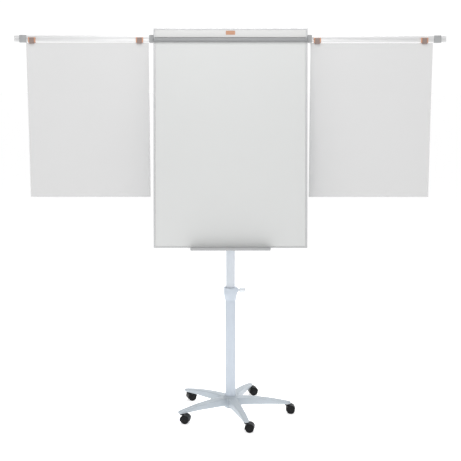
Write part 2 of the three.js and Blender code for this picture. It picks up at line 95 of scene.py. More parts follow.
def texture(tree, kind, scale, stretch=(1, 1, 1), **values):
    """A procedural texture in the object's own metres."""
    where = tree.nodes.new("ShaderNodeTexCoord")
    mapping = tree.nodes.new("ShaderNodeMapping")
    mapping.inputs["Scale"].default_value = [scale * s for s in stretch]
    made = tree.nodes.new(kind)
    tree.links.new(where.outputs["Object"], mapping.inputs["Vector"])
    tree.links.new(mapping.outputs["Vector"], made.inputs["Vector"])
    made.inputs["Scale"].default_value = 1.0
    for key, value in values.items():
        made.inputs[key].default_value = value
    return made.outputs[0]


def ramp(tree, factor, low, high):
    """Maps a 0 to 1 factor to a value from low to high."""
    made = tree.nodes.new("ShaderNodeMapRange")
    made.inputs["To Min"].default_value = low
    made.inputs["To Max"].default_value = high
    tree.links.new(factor, made.inputs["Value"])
    return made.outputs["Result"]


def blend_colour(tree, factor, a, b):
    made = tree.nodes.new("ShaderNodeMix")
    made.data_type = "RGBA"
    tree.links.new(factor, made.inputs["Factor"])
    made.inputs["A"].default_value = (*a, 1)
    made.inputs["B"].default_value = (*b, 1)
    return made.outputs["Result"]


def bump(tree, shader, height, strength, distance):
    made = tree.nodes.new("ShaderNodeBump")
    made.inputs["Strength"].default_value = strength
    made.inputs["Distance"].default_value = distance
    tree.links.new(height, made.inputs["Height"])
    tree.links.new(made.outputs["Normal"], shader.inputs["Normal"])


def scaled(colour, by):
    return tuple(min(1.0, c * by) for c in colour)


def finish(
    name,
    colour,
    rough,
    metal=0.0,
    vary=0.05,
    patch=14,
    grain=900,
    grain_depth=0.00004,
    grain_strength=0.25,
    stretch=(1, 1, 1),
    rough_spread=0.06,
    **sockets,
):
    """A surface with a slow drift in tone, a fine grain that bumps it, and a roughness that follows both."""
    material, tree, shader = nodes_of(name)
    slow = texture(tree, "ShaderNodeTexNoise", patch, Detail=3.0)
    fine = texture(tree, "ShaderNodeTexNoise", grain, stretch, Detail=2.0)
    tint = blend_colour(tree, slow, scaled(colour, 1 - vary), scaled(colour, 1 + vary))
    tree.links.new(tint, shader.inputs["Base Color"])
    mixed = tree.nodes.new("ShaderNodeMath")
    mixed.operation = "ADD"
    tree.links.new(slow, mixed.inputs[0])
    tree.links.new(fine, mixed.inputs[1])
    half = tree.nodes.new("ShaderNodeMath")
    half.operation = "MULTIPLY"
    half.inputs[1].default_value = 0.5
    tree.links.new(mixed.outputs[0], half.inputs[0])
    roughness = ramp(tree, half.outputs[0], rough - rough_spread, rough + rough_spread)
    tree.links.new(roughness, shader.inputs["Roughness"])
    shader.inputs["Metallic"].default_value = metal
    for socket, value in sockets.items():
        shader.inputs[socket.replace("_", " ")].default_value = value
    bump(tree, shader, fine, grain_strength, grain_depth)
    return material


def two_faced(name, front, back):
    """White enamelled steel on the face and a plain grey sheet behind, told apart by which way they face."""
    material = finish(
        name, front, 0.34, vary=0.012, patch=3, grain=350, grain_depth=0.00001, Coat_Weight=0.08
    )
    tree = material.node_tree
    shader = tree.nodes["Principled BSDF"]
    where = tree.nodes.new("ShaderNodeTexCoord")
    split = tree.nodes.new("ShaderNodeSeparateXYZ")
    tree.links.new(where.outputs["Normal"], split.inputs[0])
    behind = tree.nodes.new("ShaderNodeMath")
    behind.operation = "GREATER_THAN"
    behind.inputs[1].default_value = 0.3
    tree.links.new(split.outputs["Y"], behind.inputs[0])
    spangle = texture(tree, "ShaderNodeTexVoronoi", 90)
    grey = blend_colour(tree, spangle, scaled(back, 0.97), scaled(back, 1.03))
    mix = tree.nodes.new("ShaderNodeMix")
    mix.data_type = "RGBA"
    face = shader.inputs["Base Color"].links[0].from_socket
    tree.links.new(behind.outputs[0], mix.inputs["Factor"])
    tree.links.new(face, mix.inputs["A"])
    tree.links.new(grey, mix.inputs["B"])
    tree.links.new(mix.outputs["Result"], shader.inputs["Base Color"])
    return material


FINISH = {
    "base_powder_coat": finish("base_powder_coat", (0.45, 0.497, 0.54), 0.4, grain=1400, Coat_Weight=0.15),
    "powder_coat": finish("powder_coat", (0.55, 0.605, 0.675), 0.38, grain=1400, Coat_Weight=0.15),
    "column_inner": finish("column_inner", (0.62, 0.66, 0.71), 0.3, grain=1600, Coat_Weight=0.2),
    "steel_fixings": finish("steel_fixings", (0.62, 0.63, 0.65), 0.32, metal=1.0, grain=700),
    "dark_grey_plastic": finish(
        "dark_grey_plastic", (0.35, 0.355, 0.36), 0.5, grain=2200, grain_depth=0.00008
    ),
    "knob_plastic": finish("knob_plastic", (0.72, 0.75, 0.78), 0.45, grain=2200, grain_depth=0.00008),
    "whiteboard": two_faced("whiteboard", (0.625, 0.633, 0.628), (0.42, 0.43, 0.44)),
    "header_white": finish("header_white", (0.64, 0.64, 0.635), 0.35, vary=0.015, patch=5),
    "badge_orange": finish("badge_orange", (0.5, 0.26, 0.16), 0.4, vary=0.04),
    "anodised_aluminium": finish(
        "anodised_aluminium",
        (0.72, 0.722, 0.725),
        0.36,
        metal=0.5,
        vary=0.03,
        stretch=(0.03, 1, 1),
        grain=2500,
    ),
    "frame_aluminium": finish("frame_aluminium", (0.53, 0.535, 0.54), 0.4, metal=0.5, vary=0.03, grain=1800),
    "clamp_bar_grey": finish(
        "clamp_bar_grey", (0.25, 0.255, 0.26), 0.42, metal=0.3, vary=0.04, stretch=(0.04, 1, 1), grain=2500
    ),
    "tray_grey": finish("tray_grey", (0.38, 0.385, 0.39), 0.5, grain=2000, grain_depth=0.00006),
    "clip_jaw_dark": finish("clip_jaw_dark", (0.26, 0.195, 0.175), 0.5, grain=2400, grain_depth=0.00006),
    "clip_orange": finish(
        "clip_orange", (0.66, 0.33, 0.2), 0.45, vary=0.04, grain=2400, grain_depth=0.00006
    ),
    "paper": finish(
        "paper", (0.635, 0.635, 0.635), 0.85, vary=0.012, patch=4, grain=1500, grain_depth=0.00006
    ),
    "caster_black": finish(
        "caster_black", (0.009, 0.009, 0.01), 0.42, vary=0.2, grain=1800, Specular_IOR_Level=0.25
    ),
    "wheel_black": finish(
        "wheel_black",
        (0.012, 0.012, 0.013),
        0.62,
        vary=0.2,
        grain=1500,
        grain_depth=0.0001,
        Specular_IOR_Level=0.2,
    ),
}

# ---------------------------------------------------------------- mesh making


def angle_of(v):
    return math.atan2(v.y, v.x)


def fillet(corners, steps=5):
    """A closed outline from corners (u, v, radius), each corner rounded to its radius."""
    out = []
    for i, (u, v, radius) in enumerate(corners):
        here = Vector((u, v))
        a = (Vector(corners[i - 1][:2]) - here).normalized()
        b = (Vector(corners[(i + 1) % len(corners)][:2]) - here).normalized()
        if radius <= 0:
            out.append((here.x, here.y))
            continue
        half = a.angle(b) / 2
        back = radius / math.tan(half)
        centre = here + (a + b).normalized() * (radius / math.sin(half))
        start = angle_of(here + a * back - centre)
        turn = angle_of(here + b * back - centre) - start
        turn = (turn + math.pi) % (2 * math.pi) - math.pi
        for k in range(steps + 1):
            t = start + turn * k / steps
            out.append((centre.x + radius * math.cos(t), centre.y + radius * math.sin(t)))
    return out


def arc(u, v, radius, start, end, steps=24):
    """Points on an arc, angles in degrees."""
    angles = [math.radians(start + (end - start) * k / steps) for k in range(steps + 1)]
    return [(u + radius * math.cos(t), v + radius * math.sin(t)) for t in angles]


def to_object(name, bm, place=None, sharp=38):
    bmesh.ops.remove_doubles(bm, verts=bm.verts, dist=2e-6)
    bmesh.ops.recalc_face_normals(bm, faces=bm.faces)
    for face in bm.faces:
        face.smooth = True
    mesh = bpy.data.meshes.new(name)
    bm.to_mesh(mesh)
    bm.free()
    mesh.set_sharp_from_angle(angle=math.radians(sharp))
    made = bpy.data.objects.new(name, mesh)
    bpy.context.scene.collection.objects.link(made)
    if place is not None:
        made.matrix_world = place
    return made


def skin(bm, rings, closed=True, caps=True):
    """Quads between rings of points; every ring has the same count."""
    rows = [[bm.verts.new(Vector(p) * MM) for p in ring] for ring in rings]
    count = len(rows[0])
    for a, b in zip(rows, rows[1:]):
        for i in range(count if closed else count - 1):
            j = (i + 1) % count
            bm.faces.new((a[i], a[j], b[j], b[i]))
    if caps:
        bm.faces.new(rows[0])
        bm.faces.new(rows[-1])
    return rows


def prism(name, outline, x0, x1, place=None, axis="x"):
    """A closed outline drawn out along an axis. It is (y, z) for x, (x, z) for y and (x, y) for z."""
    put = {
        "x": lambda u, v, w: (w, u, v),
        "y": lambda u, v, w: (u, w, v),
        "z": lambda u, v, w: (u, v, w),
    }[axis]
    bm = bmesh.new()
    skin(bm, [[put(u, v, w) for u, v in outline] for w in (x0, x1)])
    return to_object(name, bm, place)


def lathe(name, outline, place=None, segments=96):
    """A closed outline (radius, z) turned about Z."""
    bm = bmesh.new()
    rings = []
    for k in range(segments + 1):
        t = 2 * math.pi * k / segments
        rings.append([(r * math.cos(t), r * math.sin(t), z) for r, z in outline])
    skin(bm, rings, caps=False)
    return to_object(name, bm, place)


def rod_x(name, radius, x0, x1, place=None, chamfer=0.5, segments=64):
    start = [(0, x0), (radius - chamfer, x0), (radius, x0 + chamfer)]
    stop = [(radius, x1 - chamfer), (radius - chamfer, x1), (0, x1)]
    loop = start + stop
    turned = lathe(name, loop, None, segments)
    turned.data.transform(Matrix.Rotation(math.pi / 2, 4, "Y"))
    if place is not None:
        turned.matrix_world = place
    return turned


def soften(made, width, segments=3, angle=40):
    """Rounds the sharp edges."""
    modifier = made.modifiers.new("edge", "BEVEL")
    modifier.width = width * MM
    modifier.segments = segments
    modifier.limit_method = "ANGLE"
    modifier.angle_limit = math.radians(angle)
    modifier.harden_normals = True
    return made


def bake(made):
    """Turns the modifiers into the mesh itself."""
    bpy.context.view_layer.update()
    shown = made.evaluated_get(bpy.context.evaluated_depsgraph_get())
    old = made.data
    made.data = bpy.data.meshes.new_from_object(shown)
    made.modifiers.clear()
    bpy.data.meshes.remove(old)
    return made


def boolean(made, other, operation="DIFFERENCE"):
    modifier = made.modifiers.new(operation.lower(), "BOOLEAN")
    modifier.operation = operation
    modifier.solver = "EXACT"
    modifier.object = other
    bake(made)
    spent = other.data
    bpy.data.objects.remove(other)
    bpy.data.meshes.remove(spent)
    return made


def merge(name, *parts):
    """One object from several, each kept as its own closed shell."""
    bm = bmesh.new()
    for part in parts:
        if part.modifiers:
            bake(part)
        part.data.transform(part.matrix_world)
        bm.from_mesh(part.data)
        spent = part.data
        bpy.data.objects.remove(part)
        bpy.data.meshes.remove(spent)
    mesh = bpy.data.meshes.new(name)
    bm.to_mesh(mesh)
    bm.free()
    made = bpy.data.objects.new(name, mesh)
    bpy.context.scene.collection.objects.link(made)
    return made


def piece(made, body, slot, *nodes, look=None):
    """A finished piece: its surface, its body and its CAD nodes. Its place goes into its mesh."""
    made.data.transform(made.matrix_world)
    made.matrix_world = Matrix.Identity(4)
    made.data.materials.clear()
    made.data.materials.append(FINISH[look or slot])
    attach(made, body)
    if nodes:
        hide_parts(*nodes)
    return made


# ---------------------------------------------------------------- star base

CASTERS = ["caster_right", "caster_back_right", "caster_back_left", "caster_front_left", "caster_front"]
STEM_R = (middle("caster_right_stem") * Vector((1, 1, 0))).length / MM


HUB = {"boss": 28.5, "radius": 34, "low": 27, "step": 44, "high": 86}
ARM = {"root_half": 21.5, "tip_half": 13, "tip_centre": STEM_R + 6}
ARM_TOP = {"root": 80, "crown": 83, "tip": 60}
ARM_LOW = {"root": 43, "crown": 49.5, "tip": 47.5}


def curve_height(r, start, handle, end):
    """The height at r on a quadratic curve between two points (r, z), pulled towards a handle."""
    (r0, z0), (rh, zh), (r1, z1) = start, handle, end
    k = r0 - 2 * rh + r1
    t = (r0 - rh + math.sqrt((rh - r0) ** 2 + k * (r - r0))) / k
    return (1 - t) ** 2 * z0 + 2 * t * (1 - t) * zh + t * t * z1


def arm_top(r):
    if r <= 272:
        return curve_height(max(r, 20), (20, ARM_TOP["root"]), (150, ARM_TOP["crown"]), (272, ARM_TOP["tip"]))
    t = (r - 272) / 20
    return ARM_TOP["tip"] - 3.2 * t * t - 0.8 * t


def arm_bottom(r):
    if r <= 34:
        return ARM_LOW["root"]
    if r >= 246:
        return ARM_LOW["tip"]
    return curve_height(r, (34, ARM_LOW["root"]), (150, ARM_LOW["crown"]), (246, ARM_LOW["tip"]))


def base_arm(name, place):
    rings = []
    tip = ARM["tip_centre"]
    stations = [8, 24, 40, 70, 100, 130, 160, 185, 205, 225, 240, 255, 266]
    stations += [tip + ARM["tip_half"] * share for share in (-0.4, 0, 0.25, 0.5, 0.7, 0.85, 0.95, 0.99)]
    for r in stations:
        half = ARM["root_half"] - (ARM["root_half"] - ARM["tip_half"]) * (r - 24) / (tip - 24)
        if r > tip:
            half = math.sqrt(max(ARM["tip_half"] ** 2 - (r - tip) ** 2, 0.2))
        low, high = arm_bottom(r), arm_top(r)
        top_r = min(4.0, half * 0.8, (high - low) * 0.4)
        low_r = min(2.0, half * 0.3, (high - low) * 0.3)
        corners = [(-half, low, low_r), (half, low, low_r), (half, high, top_r), (-half, high, top_r)]
        section = fillet(corners, 4)
        rings.append([(r, u, v) for u, v in section])
    bm = bmesh.new()
    skin(bm, rings)
    return to_object(name, bm, place)


def star_base():
    arms = []
    for name in CASTERS:
        at = middle(name + "_stem")
        arms.append(base_arm("arm", Matrix.Rotation(math.atan2(at.y, at.x), 4, "Z")))
    hub = lathe(
        "hub",
        fillet(
            [
                (0, HUB["low"], 0),
                (HUB["boss"], HUB["low"], 2),
                (HUB["boss"], HUB["step"], 0.5),
                (HUB["radius"], HUB["step"] + 3, 2),
                (HUB["radius"], HUB["high"], 4),
                (0, HUB["high"], 0),
            ],
            6,
        ),
        segments=96,
    )
    made = merge("star_base_casting", hub, *arms)
    remesh = made.modifiers.new("cast", "REMESH")
    remesh.mode = "VOXEL"
    remesh.voxel_size = 1.6 * MM
    smooth = made.modifiers.new("draft", "SMOOTH")
    smooth.factor = 0.5
    smooth.iterations = 5
    bake(made)
    tools = [
        lathe("bore", [(0, 35), (25, 35), (25, 110), (0, 110)], segments=96),
        lathe("bolt_way", [(0, 20), (6.3, 20), (6.3, 40), (0, 40)], segments=48),
    ]
    for name in CASTERS:
        at = middle(name + "_stem")
        place = Matrix.Translation((at.x, at.y, 0))
        tools.append(lathe("socket", [(0, 38), (5.8, 38), (5.8, 57), (0, 57)], place, 48))
    boolean(made, merge("tools", *tools))
    for face in made.data.polygons:
        face.use_smooth = True
    made.data.set_sharp_from_angle(angle=math.radians(45))
    return made


piece(star_base(), "base", "base_powder_coat", "star_base")

# ---------------------------------------------------------------- castors

WHEEL_R = 20
WHEEL_WIDTH = 16.5
WHEEL_OFFSET = 4.2
TRAIL = 18
AXLE_R = 3
STEM = {"foot": 39.5, "flange": 45, "top": 56}


def wheel_outline():
    """Half section of one wheel from its inner face at 0, with a rounded tread and a dished outer face."""
    r, w = WHEEL_R, WHEEL_WIDTH
    return fillet(
        [
            (3.3, 0, 0),
            (r, 0, 1.6),
            (r, w, 3.4),
            (r - 5, w, 0.8),
            (r - 6.5, w - 2.6, 1),
            (11, w - 3.2, 1),
            (10, w - 1.2, 0.8),
            (4.4, w - 1.0, 0.6),
            (3.3, w - 1.6, 0),
        ],
        5,
    )


def hood_shell(name, outer, inner, start, end, half):
    loop = arc(TRAIL, WHEEL_R, outer, start, end, 40) + arc(TRAIL, WHEEL_R, inner, end, start, 40)
    return soften(prism(name, loop, -half, half, axis="y"), 0.6, 3, 50)


def caster(name):
    stem_at = middle(name + "_stem")
    wheels_at = (middle(name + "_wheel_a") + middle(name + "_wheel_b")) / 2
    trail = wheels_at - stem_at
    turn = math.atan2(trail.y, trail.x)
    place = Matrix.Translation((stem_at.x, stem_at.y, 0)) @ Matrix.Rotation(turn, 4, "Z")
    inner = WHEEL_R + 1.2
    outer = inner + 2
    half = WHEEL_OFFSET + WHEEL_WIDTH
    shell = hood_shell("shell", outer, inner, 8, 200, half)
    fin_loop = arc(TRAIL, WHEEL_R, inner + 0.6, 8, 200, 40) + arc(TRAIL, WHEEL_R, 8, 200, 368, 20)
    fin = soften(prism("fin", fin_loop, 0.6 - WHEEL_OFFSET, WHEEL_OFFSET - 0.6, axis="y"), 0.6, 2, 50)
    boss_low, boss_high = STEM["foot"] - 1, STEM["flange"] - 0.5
    blind = STEM["foot"] - 0.4
    boss_loop = [(0, boss_low, 0), (9, boss_low, 1.6), (9.4, boss_high, 1.2)]
    boss_loop += [(5.7, boss_high, 0.4), (5.7, blind, 0), (0, blind, 0)]
    boss = lathe("boss", fillet(boss_loop, 4))
    end = half + 1.5
    axle_loop = [(0, -end, 0), (AXLE_R, -end, 0.8), (AXLE_R, end, 0.8), (0, end, 0)]
    axle = lathe("axle", fillet(axle_loop, 4), segments=32)
    across = Matrix.Rotation(math.pi / 2, 4, "X")
    axle.data.transform(Matrix.Translation(Vector((TRAIL, 0, WHEEL_R)) * MM) @ across)
    hood = merge(name + "_fork", shell, fin, boss, axle)
    hood.matrix_world = place
    piece(hood, name, "caster_black", name + "_hood")

    foot, flange, top = STEM["foot"], STEM["flange"], STEM["top"]
    stem_loop = [(0, foot, 0), (5.5, foot, 0.4), (5.5, flange, 0), (8.5, flange, 0.4)]
    stem_loop += [(8.5, flange + 2, 0.4), (5.5, flange + 2, 0), (5.5, top, 0.8), (0, top, 0)]
    stem = lathe(name + "_pin", fillet(stem_loop, 3), place, 48)
    piece(stem, name, "steel_fixings", name + "_stem")

    for side, sign in (("a", -1), ("b", 1)):
        turned = lathe(name + "_roller_" + side, wheel_outline(), segments=72)
        tilt = Matrix.Rotation(-sign * math.pi / 2, 4, "X")
        turned.matrix_world = shifted(place, TRAIL, sign * WHEEL_OFFSET, WHEEL_R) @ tilt
        piece(turned, name + "_wheel_" + side, "wheel_black", name + "_wheel_" + side)


for caster_name in CASTERS:
    caster(caster_name)

# ---------------------------------------------------------------- column


def tube_outline(outer, inner, low, high, lip=0.6):
    return fillet([(inner, low, 0), (outer, low, lip), (outer, high, lip), (inner, high, lip * 0.5)], 4)


LOWER_R = 24.5
UPPER_R = 21
low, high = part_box("lower_column")
lower = lathe("column_outer_tube", tube_outline(LOWER_R, LOWER_R - 2, low.z / MM, high.z / MM))
piece(lower, "base", "powder_coat", "lower_column")
low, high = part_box("upper_column")
upper = lathe("column_inner_tube", tube_outline(UPPER_R, UPPER_R - 1.6, low.z / MM, high.z / MM))
piece(upper, "board", "column_inner", "upper_column")

KNOB_AT = Matrix.Translation((0, 0, middle("clamp_knob").z))


def clamp_collar():
    low, high = (corner.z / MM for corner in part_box("clamp_collar"))
    r, tube_r, bore_r = 31.5, LOWER_R + 0.3, UPPER_R + 0.4
    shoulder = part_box("lower_column")[1].z / MM + 4
    body = lathe(
        "clamp_collar_moulding",
        fillet(
            [
                (tube_r, low, 0),
                (tube_r + 1.6, low, 0.6),
                (r - 1.4, low + 21, 10),
                (r, low + 31, 8),
                (r, high, 3.2),
                (bore_r, high, 0.4),
                (bore_r, shoulder, 0),
                (tube_r, shoulder, 0),
            ],
            6,
        ),
    )
    boss_loop = fillet([(0, 26, 0), (12.4, 26, 0), (12, 35.7, 1.2), (0, 35.7, 0)], 5)
    boss = lathe("boss", boss_loop, segments=72)
    boss.data.transform(KNOB_AT @ Matrix.Rotation(math.pi / 2, 4, "Y"))
    boolean(body, boss, "UNION")
    way = lathe("way", [(0, 10), (4.3, 10), (4.3, 40), (0, 40)], segments=40)
    way.data.transform(KNOB_AT @ Matrix.Rotation(math.pi / 2, 4, "Y"))
    boolean(body, way)
    for face in body.data.polygons:
        face.use_smooth = True
    body.data.set_sharp_from_angle(angle=math.radians(38))
    return body


piece(clamp_collar(), "base", "powder_coat", "clamp_collar")


def clamp_knob():
    lobes, steps = 6, 96
    near = [(43.9, 0.55), (44, 0.8), (44.6, 0.9), (45.6, 0.96), (47.2, 1.0)]
    far = [(66.5, 1.0), (68.6, 0.97), (69.8, 0.9), (70.4, 0.8), (70.5, 0.62)]
    stations = [*near, (56, 1.0), *far]
    rings = []
    for x, share in stations:
        ring = []
        for i in range(steps):
            t = 2 * math.pi * i / steps
            deep = 0.9 * min(1.0, max(0.0, (share - 0.6) / 0.35))
            r = (10.6 - 0.9) * share + deep * math.cos(lobes * t)
            ring.append((x, r * math.cos(t), r * math.sin(t)))
        rings.append(ring)
    bm = bmesh.new()
    skin(bm, rings)
    grip = to_object("grip", bm)
    neck = rod_x("neck", 7, 36, 45, chamfer=0.8)
    stud = rod_x("stud", 4, 21.4, 38, chamfer=0.4, segments=40)
    made = merge("clamp_knob_moulding", grip, neck, stud)
    made.matrix_world = KNOB_AT
    return made


piece(clamp_knob(), "knob", "knob_plastic", "clamp_knob")

# ---------------------------------------------------------------- board

HALF_W = 350
HALF_H = 500
BAR = 8


def frame_bar(name, node, outline, start, end, axis):
    made = soften(prism(name, outline, start, end, BOARD, axis), 0.35, 2)
    return piece(made, "board", "anodised_aluminium", node, look="frame_aluminium")


end = HALF_H - BAR - 0.3
for side, sign in (("left", -1), ("right", 1)):
    edge, within = sign * HALF_W, sign * (HALF_W - BAR)
    loop = fillet([(edge, 0, 1.8), (within, 0, 0.5), (within, BOARD_DEPTH, 0.5), (edge, BOARD_DEPTH, 1.8)], 5)
    frame_bar("frame_bar_" + side, "frame_" + side, loop, -end, end, "z")
for side, sign in (("top", 1), ("bottom", -1)):
    edge, within = sign * HALF_H, sign * (HALF_H - BAR)
    loop = fillet([(0, edge, 1.8), (0, within, 0.5), (BOARD_DEPTH, within, 0.5), (BOARD_DEPTH, edge, 1.8)], 5)
    frame_bar("frame_bar_" + side, "frame_" + side, loop, -HALF_W, HALF_W, "x")



def board_panel():
    """The panel, cut back a little under the header strip, with the two peg holes for the pad hooks."""
    wide, tall = HALF_W - BAR - 0.3, HALF_H - BAR - 0.3
    front, rebate, header_low = 1.7, 2.3, 457.4
    loop = [(front, -tall), (front, header_low), (rebate, header_low), (rebate, tall)]
    loop += [(BOARD_DEPTH, tall), (BOARD_DEPTH, -tall)]
    made = prism("writing_panel", loop, -wide, wide, BOARD)
    for side in ("left", "right"):
        at = on_board("pad_hook_" + side)
        peg = lathe("peg", [(0, -8), (2.3, -8), (2.3, 4), (0, 4)], segments=40)
        peg.data.transform(Matrix.Rotation(math.pi / 2, 4, "X"))
        peg.matrix_world = shifted(BOARD, at.x, 0, at.z)
        boolean(made, peg)
    return soften(made, 0.25, 2)


piece(board_panel(), "board", "whiteboard", "board_panel")

badge_at = on_board("header_badge")
badge_loop = fillet([(-21, -9, 3), (21, -9, 3), (21, 9, 3), (-21, 9, 3)], 6)
badge = prism("header_badge_plate", badge_loop, -0.6, 0.6, shifted(BOARD, *badge_at), "y")
piece(soften(badge, 0.35, 3), "board", "badge_orange", "header_badge")


def header():
    at = on_board("header_strip")
    half = HALF_W - BAR - 0.3
    tall, deep = (HALF_H - BAR - 0.3 - 457.7) / 2, 2.25
    loop = fillet([(-deep, -tall, 1.2), (-deep, tall, 1.2), (deep, tall, 0), (deep, -tall, 0)], 4)
    made = prism("header_moulding", loop, -half, half, shifted(BOARD, *at))
    return soften(made, 0.3, 2)


piece(header(), "board", "header_white", "header_strip")


def pad_clamp():
    pivot_y, pivot_z, r = -4.9, 451.8, 4.5
    back, front, low, wall = pivot_y + r, -12, 437.3, 2.2
    loop = [(back, pivot_z - 6.5)]
    loop += arc(pivot_y, pivot_z, r, 0, 180, 16)
    loop += fillet(
        [
            (pivot_y - r, pivot_z, 0),
            (front, pivot_z - 7, 4),
            (front, low, 2.4),
            (back, low, 0.4),
            (back, low + wall, 0.4),
            (front + wall, low + wall, 1.0),
            (front + wall, pivot_z - 8, 1.0),
            (front + 4, pivot_z - 6.5, 0.4),
        ],
        5,
    )[1:]
    half = HALF_W - 1
    bar = prism("pad_clamp_profile", loop, -half, half, BOARD)
    tools = [
        rod_x("hole", 2.2, -half - 5, 14 - half, shifted(BOARD, 0, pivot_y, pivot_z), 0.01, 32),
        rod_x("hole", 2.2, half - 14, half + 5, shifted(BOARD, 0, pivot_y, pivot_z), 0.01, 32),
    ]
    for tool in tools:
        boolean(bar, tool)
    return soften(bar, 0.4, 2)


piece(pad_clamp(), "pad_clamp", "clamp_bar_grey", "pad_clamp_bar")


def pen_tray():
    half, wall, back, depth, top, low = 181, 2, -0.4, 46, -496, -510
    trough = fillet(
        [
            (back, top, 0.6),
            (back, low, 1.0),
            (back - depth, low, 7.0),
            (back - depth, top, 0.9),
            (back - depth + wall, top, 0.9),
            (back - depth + wall, low + wall, 5.0),
            (back - wall, low + wall, 1.5),
            (back - wall, top, 0.6),
        ],
        6,
    )
    end = fillet([(back, top, 0.6), (back, low, 1.0), (back - depth, low, 7.0), (back - depth, top, 0.9)], 6)
    parts = [soften(prism("trough", trough, wall - half, half - wall), 0.2, 2)]
    for sign in (-1, 1):
        inner, outer = sign * (half - wall), sign * half
        parts.append(soften(prism("cap", end, min(inner, outer), max(inner, outer)), 0.6, 3))
    made = merge("pen_tray_moulding", *parts)
    made.matrix_world = BOARD
    return made


piece(pen_tray(), "board", "tray_grey", "pen_tray")

# ---------------------------------------------------------------- display arms


def arm_bar(side):
    at = on_board("arm_" + side)
    low, high = (corner.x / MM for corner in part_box("arm_" + side))
    low, high = low + 0.02, high - 0.02
    h, t = 14, 4.5
    loop = fillet(
        [
            (-t, -h, 1.6),
            (t, -h, 1.6),
            (t, h, 2.6),
            (-t, h, 2.6),
            (-t, 2.6, 0.3),
            (2.8 - t, 3.6, 0.2),
            (2.8 - t, -3.6, 0.2),
            (-t, -2.6, 0.3),
        ],
        5,
    )
    made = prism("display_arm_" + side, loop, low, high, shifted(BOARD, 0, at.y, at.z))
    piece(soften(made, 0.5, 3), "arm_" + side, "anodised_aluminium", "arm_" + side)


def arm_stop(side, sign):
    at = on_board("arm_stop_" + side)
    block = prism(
        "arm_stop_block_" + side,
        fillet([(-9.5, -16.5, 3), (9.5, -16.5, 3), (9.5, 16.5, 3), (-9.5, 16.5, 3)], 6),
        -16,
        16,
        shifted(BOARD, *at),
    )
    soften(block, 1.2, 4, 60)
    bake(block)
    way = prism("way", [(-4.8, -14.3), (4.8, -14.3), (4.8, 14.3), (-4.8, 14.3)], -20, 20, shifted(BOARD, *at))
    boolean(block, way)
    for face in block.data.polygons:
        face.use_smooth = True
    block.data.set_sharp_from_angle(angle=math.radians(38))
    piece(block, "arm_" + side, "dark_grey_plastic", "arm_stop_" + side)


ARM_FRONT = -4.5
WEB_TOP = -14.3
WEB_BOTTOM = -16.9
GRIP_BOTTOM = -22.5
BODY_FRONT = -9.3
PIVOT = (-11.5, 2.0)
JAW_R = 1.8
SHEET_HALF = 0.3


def clip(side, place_name, at):
    key = f"{side}_{place_name}"
    x = on_board("clip_jaw_" + key).x
    place = shifted(BOARD, x, at.y, at.z)
    rear = SHEET_HALF + 0.3
    root = ARM_FRONT - 0.3
    loop = fillet(
        [
            (BODY_FRONT, 5, 1.2),
            (root, 5, 0.6),
            (root, 2.2, 0),
            (root + 2.7, 3.15, 0.2),
            (root + 2.7, -3.15, 0.2),
            (root, -2.2, 0),
            (root, WEB_TOP, 0.5),
            (rear + 3, WEB_TOP, 1.0),
            (rear + 3, GRIP_BOTTOM, 0.8),
            (rear, GRIP_BOTTOM, 0.4),
            (rear, WEB_BOTTOM, 0.3),
            (BODY_FRONT, WEB_BOTTOM, 1.2),
        ],
        4,
    )
    y, z = PIVOT
    ear_loop = [(BODY_FRONT + 0.5, z - 5), (BODY_FRONT + 0.5, 5)]
    ear_loop += arc(y, z, 3, 90, 180, 10) + arc(y, z - 1, 3, 180, 250, 8)
    parts = [soften(prism("body", loop, -16, 16), 0.6, 3)]
    for a, b in ((11.5, 16), (-16, -11.5)):
        ear = prism("ear", ear_loop, a, b)
        boolean(ear, rod_x("hole", 1.8, -20, 20, Matrix.Translation(Vector((0, y, z)) * MM), 0.01, 24))
        parts.append(soften(ear, 0.4, 2))
    body = merge("clip_moulding_" + key, *parts)
    body.matrix_world = place
    piece(body, "clip_" + key, "clip_orange", "clip_" + key)

    foot = -SHEET_HALF - 0.3
    jaw_loop = fillet(
        [
            (y - JAW_R, GRIP_BOTTOM, 1.2),
            (foot, GRIP_BOTTOM, 0.4),
            (foot, WEB_BOTTOM - 0.3, 0.4),
            (y + JAW_R, WEB_BOTTOM - 0.3, 0.6),
            (y + JAW_R, z, 0),
        ],
        4,
    )
    jaw_loop += arc(y, z, JAW_R, 0, 180, 12)[1:]
    plate = soften(prism("plate", jaw_loop, -11, 11), 0.6, 3)
    pin = rod_x("pin", 1.5, -15.5, 15.5, Matrix.Translation(Vector((0, y, z)) * MM), 0.3, 24)
    jaw = merge("clip_jaw_moulding_" + key, plate, pin)
    jaw.matrix_world = place
    piece(jaw, "clip_jaw_" + key, "clip_jaw_dark", "clip_jaw_" + key)
    return body, jaw


SHEET_SIZE = (0.56, 0.711)


